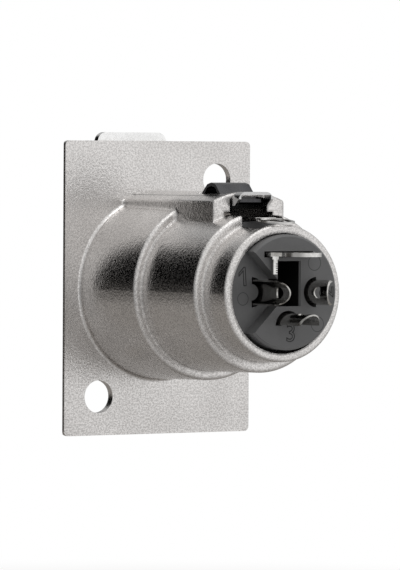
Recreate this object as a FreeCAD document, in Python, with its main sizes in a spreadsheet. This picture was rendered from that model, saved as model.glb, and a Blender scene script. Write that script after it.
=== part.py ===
"""A three-pole panel socket with a square flange, a stepped die-cast barrel and a push latch.

Frame: +Z up. The barrel's axis is Y, and its solder end points along +Y. The origin is on the
barrel's axis in the plane of the flange's rear face, which is the face that lies on the panel.
"""
import FreeCAD, Part
import Sketcher
import math
import os

doc = FreeCAD.newDocument("panel_socket")
sizes = doc.addObject("Spreadsheet::Sheet", "Sizes")

SIZES = [
    # Flange
    ("flange_side", 2.1),
    ("flange_height", 35.0),
    ("flange_thick", 2.0),
    ("flange_corner", 0.6),
    ("flange_bevel", 1.55),
    ("bevel_over", 0.2),
    ("hole_from_side", 4.75),
    ("hole_from_end", 4.6),
    ("hole_radius", 1.95),
    ("hole_land", 1.0),
    # Barrel: outer radii at both ends of each drafted step, and where each step ends along Y
    ("collar_radius", 10.7),
    ("collar_front", 4.0),
    ("base_radius", 10.9),
    ("base_radius_end", 10.6),
    ("base_end", 11.7),
    ("mid_radius", 9.55),
    ("mid_radius_end", 9.3),
    ("mid_end", 22.7),
    ("neck_radius", 8.1),
    ("neck_radius_end", 7.9),
    ("neck_end", 27.0),
    ("step_round", 0.35),
    ("root_round", 0.4),
    ("rim_round", 0.2),
    # Bores
    ("plug_bore_radius", 9.6),
    ("plug_bore_end", 10.6),
    ("mid_bore_radius", 8.25),
    ("mid_bore_end", 21.6),
    ("neck_bore_radius", 6.95),
    # Latch channel on top of the barrel
    ("channel_half", 4.85),
    ("channel_rise", 1.0),
    ("channel_end", 19.7),
    ("channel_round", 0.45),
    ("roof_thick", 0.5),
    ("cavity_half", 2.6),
    ("cavity_skin", 0.4),
    ("cavity_floor", 7.9),
    ("flange_slot_top", 12.4),
    ("keyway_half", 3.4),
    ("keyway_top", 9.3),
    ("notch_half", 2.85),
    ("notch_end", 26.2),
    ("window_half", 2.5),
    ("window_front", 12.1),
    ("window_rear", 18.3),
    # Insulating insert
    ("insert_lift", 0.15),
    ("insert_front", 3.2),
    ("insert_front_radius", 7.6),
    ("insert_clearance", 0.15),
    ("insert_rear_radius", 6.65),
    ("insert_rear_end", 28.2),
    ("insert_edge", 0.25),
    ("key_half", 2.7),
    ("key_top", 7.2),
    ("contact_circle", 3.85),
    ("pin_hole_radius", 1.65),
    ("pin_hole_end", 23.0),
    ("pin_mouth", 0.3),
    ("tail_slot_inner", 0.95),
    ("tail_slot_outer", 1.75),
    ("tail_slot_open", 0.05),
    ("sector_depth", 1.9),
    ("core_hole_half", 1.5),
    ("core_hole_top", 3.6),
    ("core_hole_bottom", 1.6),
    ("core_hole_depth", 12.0),
    ("core_ledge", 0.14),
    ("core_ledge_depth", 0.12),
    ("tag_slot_half", 3.35),
    ("tag_slot_gap", 0.12),
    ("tag_slot_depth", 6.0),
    # Contacts: a slit socket tube that goes on as a half-round solder trough
    ("contact_radius", 1.6),
    ("contact_bore", 1.21),
    ("contact_front", 1.6),
    ("contact_tube", 14.0),
    ("contact_tip", 33.4),
    ("contact_first", 1.1),
    ("contact_second", 0.9),
    ("waist_radius", 0.95),
    ("waist_length", 1.2),
    ("trough_radius", 1.46),
    ("trough_wall", 0.18),
    ("slit_width", 0.3),
    ("slit_length", 8.0),
    ("trough_open", 0.15),
    ("wire_hole_radius", 0.7),
    ("wire_hole_from_tip", 2.0),
    # Earth tag in the insert
    ("tag_thick", 0.45),
    ("tag_height", 4.15),
    ("tag_base_half", 3.05),
    ("tag_base_length", 0.9),
    ("tag_half", 2.3),
    ("tag_tip", 33.2),
    ("tag_hole_radius", 0.85),
    ("tag_hole_long", 0.9),
    ("tag_hole_from_tip", 2.4),
    ("leg_left", 2.42),
    ("leg_right", 1.88),
    ("leg_drop", 2.05),
    ("leg_thick", 0.4),
    ("leg_shoulder", 0.3),
    ("leg_shoulder_drop", 0.35),
    ("tooth_deep", 0.2),
    ("tooth_pitch", 0.25),
    # Shell lug: a strip in the keyway that ends in a thin eyelet over the neck
    ("lug_thick", 0.22),
    ("lug_strip_half", 1.4),
    ("lug_strip_front", 12.5),
    ("lug_gap", 0.2),
    ("lug_ring_front", 23.1),
    ("lug_ring_half", 2.15),
    ("lug_ring_long", 4.6),
    ("lug_ring_band", 0.45),
    ("lug_tilt", 6.3),
    # Latch lever
    ("sheet_thick", 0.5),
    ("web_half", 1.9),
    ("web_rear", 14.5),
    ("rail_lap", 1.2),
    ("rail_top", 10.25),
    ("rail_end", 18.95),
    ("arm_gap", 0.1),
    ("tab_front", 6.9),
    ("tab_thick", 0.8),
    ("tab_half", 4.85),
    ("tab_rise", 1.05),
    ("tab_corner", 1.2),
    ("hook_half", 1.5),
    ("hook_front", 2.4),
    ("hook_rear", 4.6),
    ("hook_flat", 0.5),
    ("hook_drop", 0.85),
    ("tail_gap", 0.15),
    ("tail_rear", 21.3),
    ("tail_half", 2.4),
    ("tail_wall", 0.34),
    ("tail_bottom", 10.0),
    ("tail_slant", 0.9),
    ("tail_round", 1.0),
    # Latch spring
    ("spring_thick", 0.4),
    ("spring_half", 2.35),
    ("spring_hump_front", 12.6),
    ("spring_hump_rear", 17.8),
    ("spring_hump_peak", 15.3),
    ("spring_hump_rise", 1.06),
    ("spring_hump_flat", 0.9),
    ("spring_hump_drop", 0.22),
    ("spring_bend", 0.5),
    ("spring_seat_gap", 0.05),
    ("spring_arm_half", 1.2),
    ("spring_arm_front", 8.0),
    ("spring_rest_gap", 0.05),
    ("spring_tongue_half", 1.45),
    ("spring_tongue_rear", 20.1),
    ("spring_flat_rear", 18.8),
    ("spring_flat_front", 11.2),
]

for row, (alias, value) in enumerate(SIZES, start=1):
    sizes.set(f"A{row}", alias)
    sizes.set(f"B{row}", str(value))
    sizes.setAlias(f"B{row}", alias)
doc.recompute()

FLANGE_WIDTH = "(2 * ({base_radius} + {flange_side}))"
HOLE_X = "(({base_radius} + {flange_side}) - {hole_from_side})"
HOLE_Z = "({flange_height} / 2 - {hole_from_end})"
CHANNEL_RADIUS = "({base_radius_end} + {channel_rise})"
TAB_TOP = "({flange_height} / 2 + {tab_rise})"

# Each pole's number, its turn about the barrel's axis and how far forward its contact sits
POLES = ((1, 0, "{contact_first}"), (2, 180, "{contact_second}"), (3, 90, "0"))

# How far a cutting tool runs past what it cuts
OVER = 1.0

FULL_TURN = 360.0

# Where sketch geometry is first drawn, before its constraints move it to size
START_ANGLE = 0.35
REACH = 3.0
SMALL_RADIUS = 1.0
LARGE_RADIUS = 10.0

# How near an edge lies to where a fillet or chamfer looks for it
SLACK = 0.02


def named(text):
    """Write {alias} in an expression as a reference to that cell of the sheet."""
    return text.replace("{", "Sizes.").replace("}", "")


def bind(thing, **expressions):
    """Bind properties of an object to expressions; a double underscore stands for a dot."""
    for key, text in expressions.items():
        thing.setExpression(key.replace("__", "."), named(text))


def origin_part(body, role):
    """Find one of the planes or axes of a body's own origin."""
    for feature in body.Origin.OriginFeatures:
        if feature.Role == role:
            return feature
    raise ValueError(role)


def new_body(label):
    body = doc.addObject("PartDesign::Body", label)
    body.Label = label
    return body


def new_sketch(body, name, role, offset="0", turn=0.0):
    """Put a sketch on one of the body's origin planes, turned about and moved along its normal."""
    sketch = body.newObject("Sketcher::SketchObject", name)
    sketch.AttachmentSupport = [(origin_part(body, role), "")]
    sketch.MapMode = "FlatFace"
    rotation = FreeCAD.Rotation(FreeCAD.Vector(0, 0, 1), turn)
    sketch.AttachmentOffset = FreeCAD.Placement(FreeCAD.Vector(0, 0, 0), rotation)
    bind(sketch, AttachmentOffset__Base__z=offset)
    return sketch


def place_point(sketch, geometry, end, across, up):
    """Hold a point of the sketch at two signed distances from the sketch's origin."""
    for kind, text, axis in (("DistanceX", across, -2), ("DistanceY", up, -1)):
        if text == "0":
            sketch.addConstraint(Sketcher.Constraint("PointOnObject", geometry, end, axis))
            continue
        here = sketch.getPoint(geometry, end)
        now = here.x if kind == "DistanceX" else here.y
        index = sketch.addConstraint(Sketcher.Constraint(kind, -1, 1, geometry, end, now))
        sketch.setExpression(f"Constraints[{index}]", named(text))


def add_outline(sketch, points):
    """Draw a closed outline of straight edges, each corner given by two expressions."""
    first = sketch.GeometryCount
    count = len(points)
    corners = []
    for i in range(count):
        angle = START_ANGLE + i * 2 * math.pi / count
        corners.append(FreeCAD.Vector(REACH * math.cos(angle), REACH * math.sin(angle), 0))
    for i in range(count):
        sketch.addGeometry(Part.LineSegment(corners[i], corners[(i + 1) % count]), False)
    for i in range(count):
        following = first + (i + 1) % count
        sketch.addConstraint(Sketcher.Constraint("Coincident", first + i, 2, following, 1))
    for i, (across, up) in enumerate(points):
        place_point(sketch, first + i, 1, across, up)


def add_box(sketch, left, right, low, high):
    add_outline(sketch, [(left, low), (right, low), (right, high), (left, high)])


def add_circle(sketch, across, up, radius):
    centre = FreeCAD.Vector(REACH, REACH, 0)
    circle = Part.Circle(centre, FreeCAD.Vector(0, 0, 1), SMALL_RADIUS)
    index = sketch.addGeometry(circle, False)
    place_point(sketch, index, 3, across, up)
    bound = sketch.addConstraint(Sketcher.Constraint("Radius", index, SMALL_RADIUS))
    sketch.setExpression(f"Constraints[{bound}]", named(radius))


def add_arch(sketch, half, low, radius):
    """Draw a flat-bottomed outline whose top is an arc about the sketch's origin."""
    start = math.acos(REACH / LARGE_RADIUS)
    right = FreeCAD.Vector(REACH, LARGE_RADIUS * math.sin(start), 0)
    left = FreeCAD.Vector(-REACH, LARGE_RADIUS * math.sin(start), 0)
    foot_right = FreeCAD.Vector(REACH, REACH, 0)
    foot_left = FreeCAD.Vector(-REACH, REACH, 0)
    circle = Part.Circle(FreeCAD.Vector(0, 0, 0), FreeCAD.Vector(0, 0, 1), LARGE_RADIUS)
    sketch.addGeometry(Part.LineSegment(foot_left, foot_right), False)
    sketch.addGeometry(Part.LineSegment(foot_right, right), False)
    sketch.addGeometry(Part.ArcOfCircle(circle, start, math.pi - start), False)
    sketch.addGeometry(Part.LineSegment(left, foot_left), False)
    sketch.addConstraint(Sketcher.Constraint("Coincident", 0, 2, 1, 1))
    sketch.addConstraint(Sketcher.Constraint("Coincident", 1, 2, 2, 1))
    sketch.addConstraint(Sketcher.Constraint("Coincident", 2, 2, 3, 1))
    sketch.addConstraint(Sketcher.Constraint("Coincident", 3, 2, 0, 1))
    sketch.addConstraint(Sketcher.Constraint("Coincident", 2, 3, -1, 1))
    sketch.addConstraint(Sketcher.Constraint("Vertical", 1))
    sketch.addConstraint(Sketcher.Constraint("Vertical", 3))
    place_point(sketch, 0, 1, f"-({half})", low)
    place_point(sketch, 0, 2, half, low)
    bound = sketch.addConstraint(Sketcher.Constraint("Radius", 2, LARGE_RADIUS))
    sketch.setExpression(f"Constraints[{bound}]", named(radius))


def solid_step(body, kind, name, sketch, length, backwards=False, both_ways=False):
    """Pad or pocket a sketch by a bound length."""
    feature = body.newObject("PartDesign::" + kind, name)
    feature.Profile = sketch
    bind(feature, Length=length)
    feature.Reversed = backwards
    feature.Midplane = both_ways
    sketch.Visibility = False
    return feature


def pad_to_rear(body, name, sketch, length):
    """A sketch on the XZ plane faces -Y, so a pad towards +Y is a reversed one."""
    return solid_step(body, "Pad", name, sketch, length, backwards=True)


def pocket_to_rear(body, name, sketch, length):
    return solid_step(body, "Pocket", name, sketch, length)


def pocket_to_front(body, name, sketch, length):
    return solid_step(body, "Pocket", name, sketch, length, backwards=True)


def across_pad(body, name, sketch, length):
    return solid_step(body, "Pad", name, sketch, length, both_ways=True)


def across_pocket(body, name, sketch, length):
    return solid_step(body, "Pocket", name, sketch, length, both_ways=True)


def add_bevel_pair(sketch, edge, across_first):
    """Draw the triangles that bevel two opposite front edges of the flange at 45 degrees."""
    front = "-{flange_thick} - {bevel_over}"
    rear = "-{flange_thick} + {flange_bevel} + {bevel_over}"
    for sign in ("", "-"):
        near_side = f"{sign}({edge} - {{flange_bevel}} - {{bevel_over}})"
        far_side = f"{sign}({edge} + {{bevel_over}})"
        corners = [(near_side, front), (far_side, front), (far_side, rear)]
        if not across_first:
            corners = [(along, across) for across, along in corners]
        add_outline(sketch, corners)


def revolve(body, name, sketch):
    feature = body.newObject("PartDesign::Revolution", name)
    feature.Profile = sketch
    feature.ReferenceAxis = (sketch, ["V_Axis"])
    feature.Angle = FULL_TURN
    sketch.Visibility = False
    return feature


def edges_where(shape, test):
    """Name the edges whose middle point and edge pass a test."""
    names = []
    for number, edge in enumerate(shape.Edges, start=1):
        middle = edge.valueAt((edge.FirstParameter + edge.LastParameter) / 2)
        if test(edge, middle):
            names.append(f"Edge{number}")
    return names


def dress(body, kind, name, base, test, **bound):
    """Fillet or chamfer the edges of a feature that pass a test."""
    doc.recompute()
    feature = body.newObject("PartDesign::" + kind, name)
    feature.Base = (base, edges_where(base.Shape, test))
    bind(feature, **bound)
    return feature


def size_of(alias):
    return float(sizes.get(alias))


def channel_top():
    return size_of("base_radius_end") + size_of("channel_rise")


def near(value, target, slack=SLACK):
    return abs(value - target) < slack


def ring_at(edge, middle, radius, along):
    """True for a circular edge about the Y axis with this radius at this place along Y."""
    if not near(middle.y, along):
        return False
    if edge.Curve.TypeId != "Part::GeomCircle":
        return False
    centre = edge.Curve.Center
    centred = near(centre.x, 0) and near(centre.z, 0)
    return centred and near(edge.Curve.Radius, radius)


def build_housing():
    """One zinc casting: flange, front collar, three-step barrel and the latch channel on top."""
    body = new_body("housing")

    plate = new_sketch(body, "flange_outline", "XZ_Plane")
    add_box(plate, f"-{FLANGE_WIDTH} / 2", f"{FLANGE_WIDTH} / 2",
            "-{flange_height} / 2", "{flange_height} / 2")
    flange = solid_step(body, "Pad", "flange", plate, "{flange_thick}")
    dress(body, "Fillet", "flange_corners", flange,
          lambda edge, middle: near(middle.y, -size_of("flange_thick") / 2),
          Radius="{flange_corner}")
    bevel_sides = new_sketch(body, "side_bevel_section", "XY_Plane")
    add_bevel_pair(bevel_sides, f"{FLANGE_WIDTH} / 2", across_first=True)
    across_pocket(body, "side_bevels", bevel_sides, f"{{flange_height}} + 2 * {OVER}")
    bevel_ends = new_sketch(body, "end_bevel_section", "YZ_Plane")
    add_bevel_pair(bevel_ends, "{flange_height} / 2", across_first=False)
    across_pocket(body, "end_bevels", bevel_ends, f"{FLANGE_WIDTH} + 2 * {OVER}")

    outline = new_sketch(body, "barrel_outline", "XY_Plane")
    add_outline(outline, [
        ("0", "-{collar_front}"),
        ("{collar_radius}", "-{collar_front}"),
        ("{collar_radius}", "-{flange_thick} / 2"),
        ("{base_radius}", "-{flange_thick} / 2"),
        ("{base_radius}", "0"),
        ("{base_radius_end}", "{base_end}"),
        ("{mid_radius}", "{base_end}"),
        ("{mid_radius_end}", "{mid_end}"),
        ("{neck_radius}", "{mid_end}"),
        ("{neck_radius_end}", "{neck_end}"),
        ("0", "{neck_end}"),
    ])
    barrel = revolve(body, "barrel", outline)

    def step_edge(edge, middle):
        steps = (("base_radius_end", "base_end"), ("mid_radius_end", "mid_end"))
        return any(ring_at(edge, middle, size_of(r), size_of(y)) for r, y in steps)

    steps = dress(body, "Fillet", "step_rounds", barrel, step_edge, Radius="{step_round}")
    rim = dress(body, "Fillet", "rim_round", steps,
                lambda edge, middle: ring_at(edge, middle, size_of("neck_radius_end"),
                                             size_of("neck_end"))
                or ring_at(edge, middle, size_of("collar_radius"), -size_of("collar_front")),
                Radius="{rim_round}")
    root = dress(body, "Fillet", "barrel_root", rim,
                 lambda edge, middle: ring_at(edge, middle, size_of("base_radius"), 0),
                 Radius="{root_round}")

    section = new_sketch(body, "channel_section", "XZ_Plane", "{flange_thick} / 2")
    add_arch(section, "{channel_half}", "{cavity_floor}", CHANNEL_RADIUS)
    channel = pad_to_rear(body, "channel", section, "{channel_end} + {flange_thick} / 2")

    def shoulder(edge, middle):
        straight = edge.Curve.TypeId == "Part::GeomLine"
        at_side = near(abs(middle.x), size_of("channel_half"))
        high = middle.z > size_of("base_radius_end") - size_of("channel_round")
        return straight and at_side and high and middle.y > 0

    shoulders = dress(body, "Fillet", "channel_shoulders", channel, shoulder,
                      Radius="{channel_round}")

    bores = (
        ("plug_bore", "{plug_bore_radius}", "{plug_bore_end} + {collar_front}"),
        ("mid_bore", "{mid_bore_radius}", "{mid_bore_end} + {collar_front}"),
        ("neck_bore", "{neck_bore_radius}", "{neck_end} + {collar_front}"),
    )
    for name, radius, depth in bores:
        mouth = new_sketch(body, name + "_mouth", "XZ_Plane", "{collar_front}")
        add_circle(mouth, "0", "0", radius)
        pocket_to_rear(body, name, mouth, depth)

    cavity = new_sketch(body, "latch_cavity_section", "XZ_Plane", "{cavity_skin}")
    add_arch(cavity, "{cavity_half}", "{cavity_floor}", f"{CHANNEL_RADIUS} - {{roof_thick}}")
    pocket_to_rear(body, "latch_cavity", cavity, "{channel_end} + {cavity_skin}")

    front_slot = new_sketch(body, "flange_slot_section", "XZ_Plane", "{flange_thick}")
    add_box(front_slot, "-{cavity_half}", "{cavity_half}", "{cavity_floor}", "{flange_slot_top}")
    pocket_to_rear(body, "flange_slot", front_slot, "{flange_thick} - {cavity_skin}")

    keyway = new_sketch(body, "keyway_section", "XZ_Plane", "-{plug_bore_end}")
    add_box(keyway, "-{keyway_half}", "{keyway_half}", "0", "{keyway_top}")
    pocket_to_rear(body, "keyway", keyway, "{channel_end} - {plug_bore_end}")

    notch = new_sketch(body, "rear_notch_section", "XZ_Plane", "-{channel_end}")
    add_box(notch, "-{notch_half}", "{notch_half}", "0", f"{CHANNEL_RADIUS} + {{cavity_skin}}")
    pocket_to_rear(body, "rear_notch", notch, "{notch_end} - {channel_end}")

    above_roof = f"{CHANNEL_RADIUS} + {OVER}"
    window = new_sketch(body, "spring_window_outline", "XY_Plane", above_roof)
    add_box(window, "-{window_half}", "{window_half}", "{window_front}", "{window_rear}")
    solid_step(body, "Pocket", "spring_window", window, f"{above_roof} - {{cavity_floor}}")

    holes = new_sketch(body, "screw_holes_outline", "XZ_Plane", "{flange_thick}")
    add_circle(holes, HOLE_X, f"-{HOLE_Z}", "{hole_radius}")
    add_circle(holes, f"-{HOLE_X}", HOLE_Z, "{hole_radius}")
    last = pocket_to_rear(body, "screw_holes", holes, "{flange_thick}")

    def countersink_edge(edge, middle):
        if not near(middle.y, -size_of("flange_thick")):
            return False
        if edge.Curve.TypeId != "Part::GeomCircle":
            return False
        return near(edge.Curve.Radius, size_of("hole_radius"))

    from_axis = f"sqrt(pow({HOLE_X}; 2) + pow({HOLE_Z}; 2))"
    beside_collar = f"{from_axis} - {{collar_radius}} - {{rim_round}} - {{hole_radius}}"
    dress(body, "Chamfer", "countersinks", last, countersink_edge,
          Size=f"min({{flange_thick}} - {{hole_land}}; {beside_collar})")
    return body


def build_insert():
    """Moulded insulator, pushed in from the front until its wide middle meets the shoulder."""
    body = new_body("insert")
    outline = new_sketch(body, "insert_outline", "XY_Plane")
    middle_radius = "{mid_bore_radius} - {insert_clearance}"
    add_outline(outline, [
        ("0", "-{insert_front}"),
        ("{insert_front_radius} - {insert_edge}", "-{insert_front}"),
        ("{insert_front_radius}", "-{insert_front} + {insert_edge}"),
        ("{insert_front_radius}", "{plug_bore_end}"),
        (middle_radius, "{plug_bore_end}"),
        (middle_radius, "{mid_bore_end}"),
        ("{insert_rear_radius}", "{mid_bore_end}"),
        ("{insert_rear_radius}", "{insert_rear_end} - {insert_edge}"),
        ("{insert_rear_radius} - {insert_edge}", "{insert_rear_end}"),
        ("0", "{insert_rear_end}"),
    ])
    revolve(body, "insert_turned_form", outline)

    key = new_sketch(body, "key_section", "XZ_Plane", "-{mid_bore_end}")
    add_box(key, "-{key_half}", "{key_half}", "0", "{key_top}")
    pad_to_rear(body, "key", key, "{notch_end} - {mid_bore_end} - {insert_clearance}")

    sector = new_sketch(body, "first_sector_outline", "XZ_Plane", "-{insert_rear_end}")
    add_outline(sector, [
        ("0", "0"),
        ("{mid_bore_radius}", "-{mid_bore_radius}"),
        ("{mid_bore_radius}", "{mid_bore_radius}"),
    ])
    pocket_to_front(body, "first_sector", sector, "{sector_depth}")

    core = new_sketch(body, "core_hole_outline", "XZ_Plane", "-{insert_rear_end}")
    add_box(core, "-{core_hole_half}", "{core_hole_half}", "-{core_hole_bottom}", "{core_hole_top}")
    pocket_to_front(body, "core_hole", core, "{core_hole_depth}")

    ledge = new_sketch(body, "core_ledge_outline", "XZ_Plane", "-{insert_rear_end}")
    add_box(ledge, "-{core_hole_half} - {core_ledge}", "{core_hole_half}",
            "-{core_hole_bottom}", "{core_hole_top}")
    pocket_to_front(body, "core_ledge", ledge, "{core_ledge_depth}")

    slot = new_sketch(body, "tag_slot_outline", "XZ_Plane", "-{insert_rear_end}")
    add_box(slot, "-{tag_slot_half}", "{tag_slot_half}", "{tag_height} - {tag_slot_gap}",
            "{tag_height} + {tag_thick} + {tag_slot_gap}")
    pocket_to_front(body, "tag_slot", slot, "{tag_slot_depth}")

    for number, angle, forward in POLES:
        hole_end = f"({{pin_hole_end}} - {forward})"
        bore = new_sketch(body, f"pin_hole_{number}_outline", "XZ_Plane", "{insert_front}", -angle)
        add_circle(bore, "{contact_circle}", "0", "{pin_hole_radius}")
        pocket_to_rear(body, f"pin_hole_{number}", bore, f"{{insert_front}} + {hole_end}")

        ring = new_sketch(body, f"tail_slot_{number}_outline", "XZ_Plane",
                          "-{insert_rear_end}", -angle)
        add_half_ring(ring, "{contact_circle}", "{tail_slot_inner}", "{tail_slot_outer}",
                      "{tail_slot_open}")
        pocket_to_front(body, f"tail_slot_{number}", ring,
                        f"{{insert_rear_end}} - {hole_end} + {{pin_mouth}}")
    bind(body, Placement__Base__z="{insert_lift}")
    return body


def add_half_ring(sketch, across, inner, outer, open_by):
    """Draw the half of a ring that faces the sketch's vertical axis, centred at (across, 0)."""
    middle = FreeCAD.Vector(REACH, 0, 0)
    normal = FreeCAD.Vector(0, 0, 1)
    quarter = math.pi / 2
    small = Part.Circle(middle, normal, SMALL_RADIUS)
    large = Part.Circle(middle, normal, SMALL_RADIUS * 2)
    sketch.addGeometry(Part.ArcOfCircle(large, quarter, quarter * 3), False)
    sketch.addGeometry(Part.ArcOfCircle(small, quarter, quarter * 3), False)
    up = FreeCAD.Vector(0, SMALL_RADIUS, 0)
    top = Part.LineSegment(middle + up * 2, middle + up)
    foot = Part.LineSegment(middle - up, middle - up * 2)
    sketch.addGeometry(top, False)
    sketch.addGeometry(foot, False)
    sketch.addConstraint(Sketcher.Constraint("Coincident", 0, 1, 2, 1))
    sketch.addConstraint(Sketcher.Constraint("Coincident", 2, 2, 1, 1))
    sketch.addConstraint(Sketcher.Constraint("Coincident", 1, 2, 3, 1))
    sketch.addConstraint(Sketcher.Constraint("Coincident", 3, 2, 0, 2))
    sketch.addConstraint(Sketcher.Constraint("Coincident", 1, 3, 0, 3))
    sketch.addConstraint(Sketcher.Constraint("Vertical", 2))
    sketch.addConstraint(Sketcher.Constraint("Vertical", 3))
    place_point(sketch, 0, 3, across, "0")
    for index, radius in ((0, outer), (1, inner)):
        now = sketch.Geometry[index].Radius
        bound = sketch.addConstraint(Sketcher.Constraint("Radius", index, now))
        sketch.setExpression(f"Constraints[{bound}]", named(radius))
    for point in (1, 2):
        now = sketch.getPoint(0, point).x
        bound = sketch.addConstraint(Sketcher.Constraint("DistanceX", -1, 1, 0, point, now))
        sketch.setExpression(f"Constraints[{bound}]", named(f"{across} - ({open_by})"))


def rod(name, radius, start, length):
    """A Part cylinder along +Y."""
    piece = doc.addObject("Part::Cylinder", name)
    piece.Placement.Rotation = FreeCAD.Rotation(FreeCAD.Vector(1, 0, 0), -90)
    bind(piece, Radius=radius, Height=length, Placement__Base__y=start)
    return piece


def cross_rod(name, radius, along, up, half):
    """A Part cylinder along +X, as long as twice half, centred on X = 0."""
    piece = doc.addObject("Part::Cylinder", name)
    piece.Placement.Rotation = FreeCAD.Rotation(FreeCAD.Vector(0, 1, 0), 90)
    bind(piece, Radius=radius, Height=f"2 * ({half})", Placement__Base__x=f"-({half})",
         Placement__Base__y=along, Placement__Base__z=up)
    return piece


def upright_rod(name, radius, along, low, height):
    piece = doc.addObject("Part::Cylinder", name)
    bind(piece, Radius=radius, Height=height, Placement__Base__y=along, Placement__Base__z=low)
    return piece


def block(name, left, right, front, rear, low, high):
    """A Part box between six bound faces."""
    piece = doc.addObject("Part::Box", name)
    bind(piece, Length=f"({right}) - ({left})", Width=f"({rear}) - ({front})",
         Height=f"({high}) - ({low})", Placement__Base__x=left, Placement__Base__y=front,
         Placement__Base__z=low)
    return piece


def joined(kind, name, pieces):
    """Fuse or intersect several pieces."""
    result = doc.addObject("Part::" + kind, name)
    result.Shapes = pieces
    return result


def cut(name, base, tool):
    result = doc.addObject("Part::Cut", name)
    result.Base = base
    result.Tool = tool
    return result


def build_contact(number, angle, forward):
    """One rolled contact: slit tube in front, open solder trough with a rounded end behind."""
    tag = f"c{number}_"
    radius = "{contact_radius}"
    tip = f"{{contact_tip}} - {forward}"
    start = f"-{{contact_front}} - {forward}"
    tube_end = f"{start} + {{contact_tube}}"
    tube = rod(tag + "tube", radius, start, "{contact_tube}")
    trough = rod(tag + "trough", "{trough_radius}", tube_end, f"{tip} - ({tube_end})")
    skin = joined("MultiFuse", tag + "skin", [tube, trough])
    before = f"{start} - {OVER}"
    behind = f"{tip} + {OVER}"
    outside = f"({{contact_radius}} + {OVER})"
    bore = rod(tag + "bore", "{contact_bore}", before, f"{{contact_tube}} + {OVER}")
    waist = rod(tag + "waist", "{waist_radius}", f"{tube_end} - {OVER}",
                f"{{waist_length}} + 2 * {OVER}")
    hollow = rod(tag + "hollow", "{trough_radius} - {trough_wall}",
                 f"{tube_end} + {{waist_length}}", f"{tip} - ({tube_end})")
    opening = block(tag + "opening", "-{trough_open}", outside,
                    f"{tube_end} + {{waist_length}}", behind, f"-{outside}", outside)
    slit_end = f"{start} + {{slit_length}}"
    slit = block(tag + "slit", f"-{outside}", outside, before, slit_end,
                 "-{slit_width} / 2", "{slit_width} / 2")
    slit_up = block(tag + "slit_up", "-{slit_width} / 2", "{slit_width} / 2",
                    before, slit_end, f"-{outside}", outside)
    wire_hole = cross_rod(tag + "wire_hole", "{wire_hole_radius}",
                          f"{tip} - {{wire_hole_from_tip}}", "0", outside)
    cutters = [bore, waist, hollow, opening, slit, slit_up, wire_hole]
    tools = joined("MultiFuse", tag + "tools", cutters)
    rolled = cut(tag + "rolled", skin, tools)
    nose_centre = f"{tip} - {{trough_radius}}"
    shank = block(tag + "shank", f"-{outside}", outside, before, nose_centre,
                  f"-{outside}", outside)
    nose = cross_rod(tag + "nose", "{trough_radius}", nose_centre, "0", outside)
    envelope = joined("MultiFuse", tag + "envelope", [shank, nose])
    contact = joined("MultiCommon", f"contact_{number}", [rolled, envelope])
    contact.Label = f"contact_{number}"
    contact.Placement.Rotation = FreeCAD.Rotation(FreeCAD.Vector(0, 1, 0), angle)
    bind(contact, Placement__Base__x=f"{{contact_circle}} * cos({angle})",
         Placement__Base__z=f"{{insert_lift}} - {{contact_circle}} * sin({angle})")
    return contact


def build_earth_tag():
    """Flat solder tag in the insert's slot, with a toothed leg bent down beside the core hole."""
    seat = "{insert_rear_end} - {tag_slot_depth} + {tag_slot_gap}"
    low = "{tag_height}"
    high = "{tag_height} + {tag_thick}"
    shank = block("tag_shank", "-{tag_base_half}", "{tag_base_half}", seat,
                  "{insert_rear_end} + {tag_base_length}", low, high)
    blade = block("tag_blade", "-{tag_half}", "{tag_half}", seat, "{tag_tip} - {tag_half}", low, high)
    nose = upright_rod("tag_nose", "{tag_half}", "{tag_tip} - {tag_half}", low, "{tag_thick}")
    leg_front = "{insert_rear_end} + {tag_slot_gap}"
    leg_rear = f"{leg_front} + {{leg_thick}}"
    leg = block("tag_leg", "{leg_right}", "{leg_left}", leg_front, leg_rear,
                "{tag_height} - {leg_drop}", high)
    shoulder = block("tag_leg_shoulder", "{leg_right} - {leg_shoulder} / 2",
                     "{leg_left} + {leg_shoulder} / 2", leg_front, leg_rear,
                     "{tag_height} - {leg_shoulder_drop}", high)
    metal = joined("MultiFuse", "tag_metal", [shank, blade, nose, leg, shoulder])
    below = f"{low} - {OVER}"
    through = f"{{tag_thick}} + 2 * {OVER}"
    front_centre = "{tag_tip} - {tag_hole_from_tip} - {tag_hole_long} / 2"
    rear_centre = "{tag_tip} - {tag_hole_from_tip} + {tag_hole_long} / 2"
    hole_front = upright_rod("tag_hole_front", "{tag_hole_radius}", front_centre, below, through)
    hole_rear = upright_rod("tag_hole_rear", "{tag_hole_radius}", rear_centre, below, through)
    hole_middle = block("tag_hole_middle", "-{tag_hole_radius}", "{tag_hole_radius}",
                        front_centre, rear_centre, below, f"{high} + {OVER}")
    tools = [hole_front, hole_rear, hole_middle]
    toothed = size_of("leg_drop") - size_of("leg_shoulder_drop") - size_of("tooth_pitch")
    tooth_count = int(toothed / size_of("tooth_pitch"))
    for i in range(tooth_count):
        gap = block(f"tooth_gap_{i + 1}", f"{{leg_right}} - {OVER}",
                    "{leg_right} + {tooth_deep}", f"{leg_front} - {OVER}", f"{leg_rear} + {OVER}",
                    f"{{tag_height}} - {{leg_drop}} + {{tooth_pitch}} * {i + 0.5}",
                    f"{{tag_height}} - {{leg_drop}} + {{tooth_pitch}} * {i + 1}")
        tools.append(gap)
    tag = cut("earth_tag", metal, joined("MultiFuse", "tag_tools", tools))
    tag.Label = "earth_tag"
    bind(tag, Placement__Base__z="{insert_lift}")
    return tag


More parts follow.
